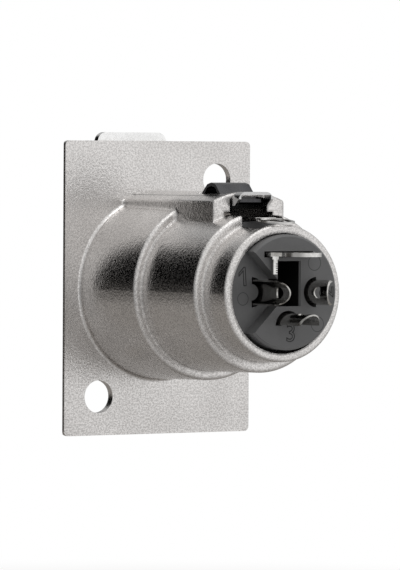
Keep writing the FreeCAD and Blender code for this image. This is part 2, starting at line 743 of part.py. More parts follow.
def build_shell_lug():
    """Thin strip lying on the insert in the keyway; its eyelet slopes down over the neck."""
    low = "{mid_bore_radius} - {insert_clearance} + {insert_lift} + {lug_gap}"
    strip = block("lug_strip", "-{lug_strip_half}", "{lug_strip_half}", "{lug_strip_front}",
                  "{lug_ring_front} + {lug_ring_band} / 2", low, f"{low} + {{lug_thick}}")
    ring = new_body("lug_eyelet")
    outline = new_sketch(ring, "eyelet_outline", "XY_Plane")
    add_oval(outline, "{lug_ring_half}", "0", "{lug_ring_long}")
    add_oval(outline, "{lug_ring_half} - {lug_ring_band}", "{lug_ring_band}",
             "{lug_ring_long} - {lug_ring_band}")
    solid_step(ring, "Pad", "eyelet", outline, "{lug_thick}")
    ring.Placement.Rotation = FreeCAD.Rotation(FreeCAD.Vector(1, 0, 0), -size_of("lug_tilt"))
    bind(ring, Placement__Base__y="{lug_ring_front}", Placement__Base__z=low)
    lug = joined("MultiFuse", "shell_lug", [strip, ring])
    lug.Label = "shell_lug"
    return lug


def add_oval(sketch, half, front, rear):
    """Draw a slot-shaped outline along the sketch's vertical axis between two ends."""
    first = sketch.GeometryCount
    normal = FreeCAD.Vector(0, 0, 1)
    low = FreeCAD.Vector(0, REACH, 0)
    high = FreeCAD.Vector(0, REACH * 2, 0)
    side = FreeCAD.Vector(SMALL_RADIUS, 0, 0)
    low_circle = Part.Circle(low, normal, SMALL_RADIUS)
    high_circle = Part.Circle(high, normal, SMALL_RADIUS)
    sketch.addGeometry(Part.ArcOfCircle(low_circle, math.pi, math.pi * 2), False)
    sketch.addGeometry(Part.LineSegment(low + side, high + side), False)
    sketch.addGeometry(Part.ArcOfCircle(high_circle, 0, math.pi), False)
    sketch.addGeometry(Part.LineSegment(high - side, low - side), False)
    joints = ((0, 2, 1, 1), (1, 2, 2, 1), (2, 2, 3, 1), (3, 2, 0, 1))
    for one, end, other, start in joints:
        sketch.addConstraint(Sketcher.Constraint("Tangent", first + one, end, first + other, start))
    sketch.addConstraint(Sketcher.Constraint("PointOnObject", first, 3, -2))
    sketch.addConstraint(Sketcher.Constraint("Vertical", first + 1))
    sketch.addConstraint(Sketcher.Constraint("Equal", first, first + 2))
    bound = sketch.addConstraint(Sketcher.Constraint("Radius", first, SMALL_RADIUS))
    sketch.setExpression(f"Constraints[{bound}]", named(half))
    ends = ((first, f"{front} + {half}"), (first + 2, f"{rear} - ({half})"))
    for index, up in ends:
        now = sketch.getPoint(index, 3).y
        bound = sketch.addConstraint(Sketcher.Constraint("DistanceY", -1, 1, index, 3, now))
        sketch.setExpression(f"Constraints[{bound}]", named(up))


def build_lever():
    """One pressed lever: thumb tab, arm, web with the hook below it, and a joggled tail."""
    body = new_body("latch_lever")
    web_low = "{plug_bore_radius}"
    arm_low = "{collar_radius} + {arm_gap}"

    tail = new_sketch(body, "tail_side", "YZ_Plane")
    under_roof = f"{CHANNEL_RADIUS} - {{roof_thick}} - {{tail_wall}}"
    tail_front = "{channel_end} + {tail_gap}"
    add_outline(tail, [
        ("{web_rear} - {rail_lap}", web_low),
        ("{rail_end}", web_low),
        (tail_front, "{tail_bottom}"),
        ("{tail_rear} - {tail_slant}", "{tail_bottom}"),
        ("{tail_rear}", under_roof),
        ("{tail_rear}", CHANNEL_RADIUS),
        (tail_front, CHANNEL_RADIUS),
        (tail_front, under_roof),
        ("{rail_end}", under_roof),
        ("{rail_end}", "{rail_top}"),
        ("{web_rear} - {rail_lap}", "{rail_top}"),
    ])
    tail_block = across_pad(body, "tail_block", tail, "2 * {tail_half}")
    rounded = dress(body, "Fillet", "tail_rounds", tail_block,
                    lambda edge, middle: near(middle.z, channel_top())
                    and near(abs(middle.x), size_of("tail_half")),
                    Radius="{tail_round}")
    inside = new_sketch(body, "tail_inside", "XZ_Plane", "-{tail_rear}")
    add_box(inside, "-{tail_half} + {tail_wall}", "{tail_half} - {tail_wall}",
            f"{web_low} - {{tail_wall}}", f"{CHANNEL_RADIUS} - {{tail_wall}}")
    pocket_to_front(body, "tail_hollow", inside, "{tail_rear} - {web_rear} + {rail_lap}")

    side = new_sketch(body, "web_side", "YZ_Plane")
    add_outline(side, [
        ("-{tab_front} + {tab_thick} / 2", arm_low),
        ("-{flange_thick}", arm_low),
        ("-{flange_thick} / 2 + {cavity_skin} / 2", web_low),
        ("{web_rear}", web_low),
        ("{web_rear}", f"{web_low} + {{sheet_thick}}"),
        ("-{flange_thick} / 2 + {cavity_skin}", f"{web_low} + {{sheet_thick}}"),
        ("-{flange_thick} + {cavity_skin} / 2", f"{arm_low} + {{sheet_thick}}"),
        ("-{tab_front} + {tab_thick} / 2", f"{arm_low} + {{sheet_thick}}"),
    ])
    across_pad(body, "web", side, "2 * {web_half}")

    hook = new_sketch(body, "hook_side", "YZ_Plane")
    add_outline(hook, [
        ("{hook_front}", f"{web_low} + {{sheet_thick}} / 2"),
        ("{hook_front}", web_low),
        ("{hook_rear} - {hook_flat}", f"{web_low} - {{hook_drop}}"),
        ("{hook_rear}", f"{web_low} - {{hook_drop}}"),
        ("{hook_rear}", f"{web_low} + {{sheet_thick}} / 2"),
    ])
    across_pad(body, "hook", hook, "2 * {hook_half}")

    bridge = new_sketch(body, "tail_bridge_side", "YZ_Plane")
    add_outline(bridge, [
        ("{web_rear} - {rail_lap}", web_low),
        ("{web_rear}", web_low),
        ("{web_rear}", f"{web_low} + {{sheet_thick}}"),
        ("{web_rear} - {rail_lap}", f"{web_low} + {{sheet_thick}}"),
    ])
    across_pad(body, "tail_bridge", bridge, "2 * {tail_half}")

    tab = new_sketch(body, "tab_face", "XZ_Plane", "{tab_front}")
    add_box(tab, "-{tab_half}", "{tab_half}", arm_low, TAB_TOP)
    plate = pad_to_rear(body, "tab", tab, "{tab_thick}")
    dress(body, "Fillet", "tab_corners", plate,
          lambda edge, middle: near(abs(middle.x), size_of("tab_half"))
          and near(middle.y, size_of("tab_thick") / 2 - size_of("tab_front")),
          Radius="{tab_corner}")
    return body


def build_spring():
    """Bent steel strip: a hump standing in the roof window, and an arm that bears on the lever."""
    roof_inside = f"({CHANNEL_RADIUS} - {{roof_thick}})"
    roof_over_edge = f"sqrt(pow({roof_inside}; 2) - pow({{spring_half}}; 2))"
    seat = f"({roof_over_edge} - {{spring_seat_gap}})"
    seat_low = f"({seat} - {{spring_thick}})"
    rest = "({plug_bore_radius} + {sheet_thick} + {spring_rest_gap})"
    peak = f"({CHANNEL_RADIUS} + {{spring_hump_rise}})"
    crest_front = "({spring_hump_peak} - {spring_hump_flat})"
    crest_rear = "({spring_hump_peak} + {spring_hump_flat})"
    inner_front = "({spring_hump_front} + {spring_thick})"
    inner_rear = "({spring_hump_rear} - {spring_thick})"
    body = new_body("latch_spring")

    side = new_sketch(body, "hump_side", "YZ_Plane")
    add_outline(side, [
        ("{spring_flat_front}", seat_low),
        (inner_front, seat_low),
        (crest_front, f"{peak} - {{spring_hump_drop}} - {{spring_thick}}"),
        ("{spring_hump_peak}", f"{peak} - {{spring_thick}}"),
        (crest_rear, f"{peak} - {{spring_hump_drop}} - {{spring_thick}}"),
        (inner_rear, seat_low),
        ("{spring_flat_rear}", seat_low),
        ("{spring_flat_rear}", seat),
        ("{spring_hump_rear}", seat),
        (crest_rear, f"{peak} - {{spring_hump_drop}}"),
        ("{spring_hump_peak}", peak),
        (crest_front, f"{peak} - {{spring_hump_drop}}"),
        ("{spring_hump_front}", seat),
        ("{spring_flat_front}", seat),
    ])
    hump = across_pad(body, "hump", side, "2 * {spring_half}")

    def crest_bend(edge, middle):
        across = near(abs(edge.tangentAt(edge.FirstParameter).x), 1)
        reach = size_of("spring_hump_flat") + size_of("spring_thick")
        return across and near(middle.y, size_of("spring_hump_peak"), reach)

    dress(body, "Fillet", "crest_bends", hump, crest_bend, Radius="{spring_bend}")

    tongue = new_sketch(body, "tongue_side", "YZ_Plane")
    add_outline(tongue, [
        ("{spring_flat_rear} - {spring_thick}", seat_low),
        ("{spring_tongue_rear}", seat_low),
        ("{spring_tongue_rear}", seat),
        ("{spring_flat_rear} - {spring_thick}", seat),
    ])
    across_pad(body, "tongue", tongue, "2 * {spring_tongue_half}")

    arm = new_sketch(body, "spring_arm_side", "YZ_Plane")
    arm_rear = "{spring_flat_front} + {spring_thick}"
    add_outline(arm, [
        ("{spring_arm_front}", rest),
        ("{spring_arm_front}", f"{rest} + {{spring_thick}}"),
        (arm_rear, seat),
        (arm_rear, seat_low),
    ])
    across_pad(body, "spring_arm", arm, "2 * {spring_arm_half}")
    return body


nodes = [build_housing(), build_insert()]
for number, angle, forward in POLES:
    nodes.append(build_contact(number, angle, forward))
nodes += [build_earth_tag(), build_shell_lug(), build_lever(), build_spring()]
doc.recompute()

for thing in doc.Objects:
    if "Invalid" in thing.State or "Error" in thing.State:
        raise RuntimeError(f"{thing.Name} failed: {thing.State}")
for node in nodes:
    if node.Shape.isNull() or not node.Shape.isValid():
        raise RuntimeError(f"{node.Label} has no valid shape")
    if len(node.Shape.Solids) != 1:
        raise RuntimeError(f"{node.Label} has {len(node.Shape.Solids)} solids")

os.makedirs("parts", exist_ok=True)
for node in nodes:
    node.Shape.exportStep(f"parts/{node.Label}.step")
    box = node.Shape.BoundBox
    print(f"{node.Label}: {node.Shape.Volume:.1f} mm3, "
          f"X {box.XMin:.2f}..{box.XMax:.2f}, Y {box.YMin:.2f}..{box.YMax:.2f}, "
          f"Z {box.ZMin:.2f}..{box.ZMax:.2f}")
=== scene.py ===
# %% [markdown]
# # A panel socket, dressed for its photograph
#
# The CAD model brings nine metal and plastic pieces that already have their real shapes. What is
# left for Blender is what a drawing can't say: how the plated casting glitters, how dark the
# moulding is, which numbers are moulded into it, and what kind of room the metal reflects.
# This script goes from the frame to the camera, the light, the finishes and the small marks.

# %% load the frame
import bpy
import bmesh
import math
from mathutils import Matrix, Vector


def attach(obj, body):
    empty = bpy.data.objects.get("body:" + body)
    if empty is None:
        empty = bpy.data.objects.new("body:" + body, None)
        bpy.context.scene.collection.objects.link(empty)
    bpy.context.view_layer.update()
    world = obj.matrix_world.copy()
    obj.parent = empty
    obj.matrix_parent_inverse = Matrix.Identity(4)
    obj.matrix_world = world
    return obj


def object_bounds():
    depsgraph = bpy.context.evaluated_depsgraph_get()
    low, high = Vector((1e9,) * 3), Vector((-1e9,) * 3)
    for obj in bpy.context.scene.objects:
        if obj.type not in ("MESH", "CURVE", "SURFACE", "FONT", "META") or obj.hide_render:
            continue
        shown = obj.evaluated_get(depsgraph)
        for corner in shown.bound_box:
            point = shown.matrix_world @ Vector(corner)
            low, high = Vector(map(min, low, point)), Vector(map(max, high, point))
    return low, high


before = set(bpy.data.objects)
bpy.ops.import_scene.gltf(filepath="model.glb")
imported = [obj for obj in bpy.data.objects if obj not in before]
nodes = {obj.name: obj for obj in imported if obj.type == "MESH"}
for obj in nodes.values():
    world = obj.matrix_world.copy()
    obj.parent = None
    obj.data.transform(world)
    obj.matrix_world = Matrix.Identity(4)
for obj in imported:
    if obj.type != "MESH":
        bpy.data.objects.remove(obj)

cad_box = [list(corner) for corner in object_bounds()]
scene = bpy.context.scene
mm = 0.001
print("nodes:", sorted(nodes))
print("CAD box in mm:", [[round(v / mm, 2) for v in corner] for corner in cad_box])

# %% [markdown]
# ## Where the camera looks from
#
# The socket was photographed from behind and to one side with a long lens: its front is hardly
# larger than its back, so the edges that run away from us stay almost parallel. Such a picture
# can be had by moving far away and zooming in. The camera's direction is given by two angles and
# a small roll, because a hand-held or hastily cropped picture is seldom quite upright.

# %% turn the viewing angles into directions
view_azimuth = math.radians(147.4932)
view_elevation = math.radians(1.4918)
view_roll = math.radians(0.3372)

back = Vector((
    math.sin(view_azimuth) * math.cos(view_elevation),
    -math.cos(view_azimuth) * math.cos(view_elevation),
    math.sin(view_elevation),
))
level_right = (-back).cross(Vector((0, 0, 1))).normalized()
level_up = level_right.cross(-back)
right = math.cos(view_roll) * level_right + math.sin(view_roll) * level_up
up = -math.sin(view_roll) * level_right + math.cos(view_roll) * level_up
print("towards the camera:", [round(v, 3) for v in back])

# %% [markdown]
# ## The camera itself
#
# A lens is given in millimetres for a sensor of a known size. Here the zoom was measured in
# pixels of the picture, so it is scaled from the picture's height to the sensor's.

# %% place the camera
view_distance = 561.19 * mm
view_target = Vector((1.7186, 12.0, 0.6082)) * mm
focal_in_pixels = 4785.5
picture_height = 570
sensor = 36.0
nearest_seen = 0.01

camera_data = bpy.data.cameras.new("photo_camera")
camera_data.sensor_width = sensor
camera_data.lens = focal_in_pixels / picture_height * sensor
camera_data.clip_start = nearest_seen
camera = bpy.data.objects.new("photo_camera", camera_data)
turn = Matrix((right, up, back)).transposed().to_4x4()
camera.matrix_world = Matrix.Translation(view_target + back * view_distance) @ turn
scene.collection.objects.link(camera)
scene.camera = camera
print("lens:", round(camera_data.lens, 1), "mm")

# %% [markdown]
# ## Sums with nodes
#
# The room and every finish are built from nodes. A few helpers keep that readable: one feeds a
# socket from another socket or from a plain value, one does a sum, and one blends softly from
# one value to another while a third value crosses a range.

# %% write the helpers for sums
def link_value(tree, socket, value):
    """Feed a socket from another socket, or set its own value."""
    if hasattr(value, "is_output"):
        tree.links.new(value, socket)
    else:
        socket.default_value = value


def math_node(tree, operation, first, second=0.0, clamp=False):
    """The result of one sum."""
    node = tree.nodes.new("ShaderNodeMath")
    node.operation = operation
    node.use_clamp = clamp
    link_value(tree, node.inputs[0], first)
    link_value(tree, node.inputs[1], second)
    return node.outputs[0]


def smooth_range(tree, value, low, high, start=0.0, end=1.0):
    """Blend from start to end while value goes from low to high, without a corner at either."""
    node = tree.nodes.new("ShaderNodeMapRange")
    node.interpolation_type = "SMOOTHSTEP"
    link_value(tree, node.inputs["Value"], value)
    node.inputs["From Min"].default_value = low
    node.inputs["From Max"].default_value = high
    node.inputs["To Min"].default_value = start
    node.inputs["To Max"].default_value = end
    return node.outputs["Result"]


def split_axes(tree, vector):
    """The X, Y and Z of a vector."""
    node = tree.nodes.new("ShaderNodeSeparateXYZ")
    tree.links.new(vector, node.inputs[0])
    return node.outputs["X"], node.outputs["Y"], node.outputs["Z"]


print("helpers for sums:", [f.__name__ for f in (link_value, math_node, smooth_range, split_axes)])

# %% [markdown]
# ## Blends of colour
#
# A colour ramp turns one value into a run of greys, and a mix node lays one colour over another.
# Almost everything here is a grey, so greys have a helper of their own.

# %% write the helpers for colours
def grey(level):
    """An opaque grey."""
    return (level, level, level, 1.0)


def ramp(tree, value, stops):
    """A colour ramp from (position, colour) pairs."""
    node = tree.nodes.new("ShaderNodeValToRGB")
    link_value(tree, node.inputs["Fac"], value)
    while len(node.color_ramp.elements) < len(stops):
        node.color_ramp.elements.new(0.5)
    for element, (position, colour) in zip(node.color_ramp.elements, stops):
        element.position = position
        element.color = colour
    return node.outputs["Color"]


def mix_colour(tree, factor, first, second, blend="MIX"):
    """The first colour where factor is nought, and the second where it is one."""
    node = tree.nodes.new("ShaderNodeMix")
    node.data_type = "RGBA"
    node.blend_type = blend
    link_value(tree, node.inputs["Factor"], factor)
    link_value(tree, node.inputs["A"], first)
    link_value(tree, node.inputs["B"], second)
    return node.outputs["Result"]


white = grey(1.0)
print("white:", white)

# %% [markdown]
# ## The room that the metal mirrors
#
# Bare metal has hardly any colour of its own: we see the room in it. The rear of the flange
# mirrors a wide bright wall behind the photographer. The sides of the barrel mirror what is
# behind the panel: a dark card that stands beside the part, with light above it and a dim table
# below. So the world is a soft gradient for each of the three, from low directions to high ones.
# Pictures of real rooms could light it too, but a gradient shows which reflection comes from
# where, and it is easy to change.

# %% give each side of the room its greys
def warm(level):
    """A grey with a little less green and less blue."""
    return (level, level * 0.95, level * 0.90, 1.0)


def by_height(tree, height, greys):
    """A ramp over a direction's height, which goes from -1 straight down to 1 straight up."""
    return ramp(tree, height, [((z + 1) / 2, colour) for z, colour in greys])


open_greys = [(-0.60, grey(0.26)), (-0.25, grey(0.30)), (0.00, grey(0.44)),
              (0.30, grey(0.62)), (0.60, grey(0.80)), (0.90, grey(0.95))]
card_greys = [(-0.60, warm(0.29)), (-0.34, warm(0.42)), (-0.20, warm(0.32)), (-0.06, warm(0.09)),
              (0.04, grey(0.0)), (0.56, grey(0.0)), (0.66, grey(0.60)), (0.90, grey(0.95))]
wall_greys = [(-0.60, grey(0.72)), (-0.07, grey(0.85)), (0.03, grey(1.0)), (0.20, grey(1.0))]

world = bpy.data.worlds.new("studio")
scene.world = world
world.use_nodes = True
tree = world.node_tree
tree.nodes.clear()
direction = tree.nodes.new("ShaderNodeTexCoord").outputs["Generated"]
side_x, side_y, side_z = split_axes(tree, direction)
height = math_node(tree, "MULTIPLY_ADD", side_z, 0.5)
height.node.inputs[2].default_value = 0.5
open_side = by_height(tree, height, open_greys)
card_side = by_height(tree, height, card_greys)
wall_side = by_height(tree, height, wall_greys)
print("greys of the room:", len(open_greys) + len(card_greys) + len(wall_greys))

# %% [markdown]
# ## Where the wall and the card stand
#
# The wall fills the directions near one that points past the photographer. The card fills a
# patch to the right, behind the panel, and the far corner of the room is a little dimmer. Each
# patch has a soft edge, because a satin finish shows a hard one as a line.

# %% set the wall and the card in the room
wall_direction = Vector((-0.6, 0.8, 0.05)).normalized()
wall_fade = (0.0, 0.90)
card_fade_across = (-0.06, 0.26)
card_fade_behind = (-0.25, 0.20)
corner_fade = (-0.70, -0.30)
corner_tone = 0.60

towards_wall = tree.nodes.new("ShaderNodeVectorMath")
towards_wall.operation = "DOT_PRODUCT"
tree.links.new(direction, towards_wall.inputs[0])
towards_wall.inputs[1].default_value = wall_direction
bright_wall = smooth_range(tree, towards_wall.outputs["Value"], *wall_fade)
card_across = smooth_range(tree, side_x, *card_fade_across)
card_behind = smooth_range(tree, side_y, *card_fade_behind, 1.0, 0.0)
card = math_node(tree, "MULTIPLY", card_across, card_behind)
far_corner = smooth_range(tree, side_y, *corner_fade, corner_tone, 1.0)
studio = mix_colour(tree, 1.0, open_side, far_corner, "MULTIPLY")
studio = mix_colour(tree, card, studio, card_side)
studio = mix_colour(tree, bright_wall, studio, wall_side)
print("wall direction:", [round(v, 2) for v in wall_direction])

# %% [markdown]
# ## A white backdrop that costs no light
#
# The picture's background is plain white. The camera sees white in every direction, while the
# metal goes on mirroring the room, and light that falls on matt surfaces is a little weaker, so
# that they keep their colour. The Light Path node tells these kinds of ray apart.

# %% show white to the camera
matt_strength = 0.90

ray = tree.nodes.new("ShaderNodeLightPath")
mirrored = math_node(tree, "ADD", ray.outputs["Is Glossy Ray"], ray.outputs["Is Transmission Ray"])
shown = math_node(tree, "ADD", mirrored, ray.outputs["Is Camera Ray"], clamp=True)
strength = smooth_range(tree, shown, 0.0, 1.0, matt_strength, 1.0)
seen = mix_colour(tree, ray.outputs["Is Camera Ray"], studio, white)
background = tree.nodes.new("ShaderNodeBackground")
tree.links.new(seen, background.inputs["Color"])
tree.links.new(strength, background.inputs["Strength"])
output = tree.nodes.new("ShaderNodeOutputWorld")
tree.links.new(background.outputs[0], output.inputs["Surface"])
scene.view_settings.view_transform = "Standard"
print("world nodes:", len(tree.nodes))

# %% [markdown]
# ## One broad lamp
#
# A room alone gives no direction to the light. A large lamp above and behind the part brightens
# its top, and gives the floor a soft shadow. Its size is what makes the shadow soft.

# %% add the lamp overhead
lamp_width = 0.40
lamp_depth = 0.30
lamp_watts = 0.5
lamp_place = Vector((-0.05, 0.10, 0.45))
lamp_aim = Vector((0, 0.012, 0))

lamp_data = bpy.data.lights.new("overhead", "AREA")
lamp_data.shape = "RECTANGLE"
lamp_data.size = lamp_width
lamp_data.size_y = lamp_depth
lamp_data.energy = lamp_watts
lamp = bpy.data.objects.new("overhead", lamp_data)
lamp.location = lamp_place
lamp.rotation_euler = (lamp_aim - lamp_place).to_track_quat("-Z", "Y").to_euler()
scene.collection.objects.link(lamp)
print("lamp energy:", lamp_data.energy, "W")

# %% [markdown]
# ## The floor
#
# A part that belongs in a panel has nothing to stand on, so the floor lies a little below it. It
# is a plain disc, which a circle with a filled middle gives.

# %% make the floor
floor_drop = 25 * mm
floor_radius = 0.14
floor_height = cad_box[0][2] - floor_drop

mesh = bpy.data.meshes.new("floor")
shape = bmesh.new()
bmesh.ops.create_circle(shape, cap_ends=True, segments=64, radius=floor_radius,
                        matrix=Matrix.Translation((0, 0, floor_height)))
shape.to_mesh(mesh)
shape.free()
floor = bpy.data.objects.new("floor", mesh)
scene.collection.objects.link(floor)
print("floor at", round(floor_height / mm, 1), "mm")

# %% [markdown]
# ## The floor's paper
#
# The paper takes a soft shadow near the part, and farther out it fades to the white of the
# background, so that no edge shows. The metal mirrors it dimmer than it is, as painted shade:
# dim below the front of the part and lighter behind it, as on the table in the picture.

# %% colour the floor
fade_to_white = (0.06, 0.13)
fade_behind = (0.005, 0.035)
paper_colour = grey(0.86)
mirrored_front_shade = (0.36, 0.34, 0.32, 1.0)
mirrored_behind_shade = (0.56, 0.55, 0.54, 1.0)

floor_material = bpy.data.materials.new("pale_floor")
floor_material.use_nodes = True
tree = floor_material.node_tree
tree.nodes.clear()
place = tree.nodes.new("ShaderNodeTexCoord").outputs["Object"]
distance = tree.nodes.new("ShaderNodeVectorMath")
distance.operation = "LENGTH"
tree.links.new(place, distance.inputs[0])
far = smooth_range(tree, distance.outputs["Value"], *fade_to_white)
ray = tree.nodes.new("ShaderNodeLightPath")
white_part = math_node(tree, "MULTIPLY", far, ray.outputs["Is Camera Ray"])
_, along, _ = split_axes(tree, place)
behind_part = smooth_range(tree, along, *fade_behind)
# Painted shade: in reflections the paper shows these darker greys instead of its own colour.
mirrored_paper = mix_colour(tree, behind_part, mirrored_front_shade, mirrored_behind_shade)
paper_shown = mix_colour(tree, ray.outputs["Is Glossy Ray"], paper_colour, mirrored_paper)
paper = tree.nodes.new("ShaderNodeBsdfDiffuse")
tree.links.new(paper_shown, paper.inputs["Color"])
glow = tree.nodes.new("ShaderNodeEmission")
mixed = tree.nodes.new("ShaderNodeMixShader")
tree.links.new(white_part, mixed.inputs[0])
tree.links.new(paper.outputs[0], mixed.inputs[1])
tree.links.new(glow.outputs[0], mixed.inputs[2])
output = tree.nodes.new("ShaderNodeOutputMaterial")
tree.links.new(mixed.outputs[0], output.inputs["Surface"])
floor.data.materials.append(floor_material)
print("floor material:", floor_material.name)

# %% [markdown]
# ## Groups for what comes back
#
# An effect that several materials use is built once, as a node group with named sockets, and
# each material sets its own amounts. These helpers start a group, place one in a material, and
# give a noise pattern.

# %% write the helpers for groups
def new_group(name, inputs, outputs):
    """A node group with its named sockets, and the nodes where it starts and ends."""
    group = bpy.data.node_groups.new(name, "ShaderNodeTree")
    for label, kind, value in inputs:
        socket = group.interface.new_socket(name=label, in_out="INPUT", socket_type=kind)
        if value is not None:
            socket.default_value = value
    for label, kind in outputs:
        group.interface.new_socket(name=label, in_out="OUTPUT", socket_type=kind)
    start = group.nodes.new("NodeGroupInput")
    end = group.nodes.new("NodeGroupOutput")
    return group, start, end


def place_group(tree, group, vector, **amounts):
    """A group in a material, with amounts by the names of its sockets, spaces as underscores."""
    node = tree.nodes.new("ShaderNodeGroup")
    node.node_tree = group
    tree.links.new(vector, node.inputs["Vector"])
    for label, amount in amounts.items():
        node.inputs[label.replace("_", " ")].default_value = amount
    return node


def noise(tree, vector, scale, detail, roughness):
    """A cloudy pattern with values round a half."""
    node = tree.nodes.new("ShaderNodeTexNoise")
    tree.links.new(vector, node.inputs["Vector"])
    link_value(tree, node.inputs["Scale"], scale)
    node.inputs["Detail"].default_value = detail
    node.inputs["Roughness"].default_value = roughness
    return node.outputs["Fac"]


print("helpers for groups:", [f.__name__ for f in (new_group, place_group, noise)])

# %% [markdown]
# ## The grain of a casting
#
# Cast and plated metal is never quite even: a fine grain tilts the surface a little, and every
# tilt catches another part of the room. Real grain has small pits on larger ones, so two noise
# patterns are added. The group gives their height for the bump, and a speckle for the colour.

# %% build the grain group
coarse_share = 0.35
coarse_weight = 0.7
speckle_range = (0.35, 0.65)

grain_group, start, end = new_group(
    "cast_grain",
    [("Vector", "NodeSocketVector", None), ("Grains per metre", "NodeSocketFloat", 5000.0)],
    [("Height", "NodeSocketFloat"), ("Speckle", "NodeSocketFloat")],
)
fine_scale = start.outputs["Grains per metre"]
coarse_scale = math_node(grain_group, "MULTIPLY", fine_scale, coarse_share)
fine = noise(grain_group, start.outputs["Vector"], fine_scale, 1.5, 0.6)
coarse = noise(grain_group, start.outputs["Vector"], coarse_scale, 1.0, 0.5)
sum_height = math_node(grain_group, "MULTIPLY_ADD", coarse, coarse_weight)
grain_group.links.new(fine, sum_height.node.inputs[2])
speckle = smooth_range(grain_group, fine, *speckle_range)
grain_group.links.new(sum_height, end.inputs["Height"])
grain_group.links.new(speckle, end.inputs["Speckle"])
print("grain group sockets:", [s.name for s in grain_group.interface.items_tree])

# %% [markdown]
# ## Slow clouds
#
# Handling and plating leave broad, faint patches. They are the same on metal and on plastic, and
# only their size and their two tones differ.

# %% build the cloud group
cloud_range = (0.3, 0.7)

cloud_group, start, end = new_group(
    "slow_clouds",
    [("Vector", "NodeSocketVector", None), ("Clouds per metre", "NodeSocketFloat", 150.0)],
    [("Cloud", "NodeSocketFloat")],
)
cloud = noise(cloud_group, start.outputs["Vector"], start.outputs["Clouds per metre"], 3.0, 0.55)
cloud_group.links.new(smooth_range(cloud_group, cloud, *cloud_range), end.inputs["Cloud"])
print("cloud group sockets:", [s.name for s in cloud_group.interface.items_tree])

# %% [markdown]
# ## The rings that ejector pins leave
#
# A moulding is pushed out of its mould by round pins, and each leaves a faint ring. The rings
# are far too shallow to model. A thin dark line at a fixed distance from a middle draws one.

# %% build the ring mark group
line_half = 0.015 * mm
line_fade = 0.06 * mm

mark_group, start, end = new_group(
    "ring_mark",
    [("Vector", "NodeSocketVector", None), ("Across", "NodeSocketFloat", 0.0),
     ("Up", "NodeSocketFloat", 0.0), ("Radius", "NodeSocketFloat", 0.001)],
    [("Line", "NodeSocketFloat")],
)
mark_x, _, mark_z = split_axes(mark_group, start.outputs["Vector"])
from_side = math_node(mark_group, "SUBTRACT", mark_x, start.outputs["Across"])
from_level = math_node(mark_group, "SUBTRACT", mark_z, start.outputs["Up"])
side_square = math_node(mark_group, "MULTIPLY", from_side, from_side)
level_square = math_node(mark_group, "MULTIPLY", from_level, from_level)
square_sum = math_node(mark_group, "ADD", side_square, level_square)
from_middle = math_node(mark_group, "SQRT", square_sum)
past_ring = math_node(mark_group, "SUBTRACT", from_middle, start.outputs["Radius"])
off_line = math_node(mark_group, "ABSOLUTE", past_ring)
line = smooth_range(mark_group, off_line, line_half, line_fade, 1.0, 0.0)
mark_group.links.new(line, end.inputs["Line"])
print("ring mark sockets:", [s.name for s in mark_group.interface.items_tree])

# %% [markdown]
# ## Painted shade inside the latch channel
#
# The channel under the roof is deep, and the picture shows it almost black, so its inside gets
# painted shade. A soft box in the part's own coordinates marks what lies in there: between the
# walls of the keyway, up to the roof's inside, and just short of the channel's rear end.

# %% build the tunnel mask
keyway_half = 3.40 * mm
roof_inside = 11.10 * mm
channel_rear = 19.70 * mm
tunnel_floor = 7.0 * mm
tunnel_front = -1.0 * mm
mask_skin = 0.02 * mm
lit_rear = 0.25 * mm
rear_fade = 0.2 * mm
edge_fade = 0.05 * mm


def band(tree, value, low, high, soft=edge_fade):
    """One between low and high, fading to nought over a short way outside."""
    rise = smooth_range(tree, value, low - soft, low)
    fall = smooth_range(tree, value, high, high + soft, 1.0, 0.0)
    return math_node(tree, "MULTIPLY", rise, fall)


tunnel_group, start, end = new_group(
    "latch_tunnel_shade", [("Vector", "NodeSocketVector", None)], [("Inside", "NodeSocketFloat")],
)
tunnel_half = keyway_half + mask_skin
tunnel_x, tunnel_y, tunnel_z = split_axes(tunnel_group, start.outputs["Vector"])
beside = band(tunnel_group, tunnel_x, -tunnel_half, tunnel_half)
under_roof = band(tunnel_group, tunnel_z, tunnel_floor, roof_inside + mask_skin)
ahead = band(tunnel_group, tunnel_y, tunnel_front, channel_rear - lit_rear, rear_fade)
inside = math_node(tunnel_group, "MULTIPLY", beside, under_roof)
inside = math_node(tunnel_group, "MULTIPLY", inside, ahead)
tunnel_group.links.new(inside, end.inputs["Inside"])
print("tunnel mask sockets:", [s.name for s in tunnel_group.interface.items_tree])

# %% [markdown]
# ## Step edges that catch the light
#
# Tumbling rounds the barrel's step edges more than the plain shape shows, so each has a thin
# bright line. The Bevel node bends the normal near an edge without changing the shape. It is
# used only in narrow stripes round the steps, because elsewhere it would blur the grain.

# %% write the softened step edges
step_stripes = {
    "base": (10.9 * mm, 12.1 * mm),
    "channel": (19.0 * mm, 20.3 * mm),
    "middle": (21.9 * mm, 23.2 * mm),
    "rim": (26.3 * mm, 27.2 * mm),
}
stripe_fade = 0.3 * mm


def softened_normal(tree, place, radius):
    """A normal that rounds the barrel's step edges, and is the plain one everywhere else."""
    _, along, _ = split_axes(tree, place)
    near_step = 0.0
    for front, rear in step_stripes.values():
        stripe = band(tree, along, front, rear, stripe_fade)
        near_step = math_node(tree, "MAXIMUM", stripe, near_step)
    rounded = tree.nodes.new("ShaderNodeBevel")
    rounded.inputs["Radius"].default_value = radius
    plain = tree.nodes.new("ShaderNodeNewGeometry")
    chosen = tree.nodes.new("ShaderNodeMix")
    chosen.data_type = "VECTOR"
    tree.links.new(near_step, chosen.inputs["Factor"])
    tree.links.new(plain.outputs["Normal"], chosen.inputs[4])
    tree.links.new(rounded.outputs["Normal"], chosen.inputs[5])
    return chosen.outputs[1]


print("softened steps:", list(step_stripes))
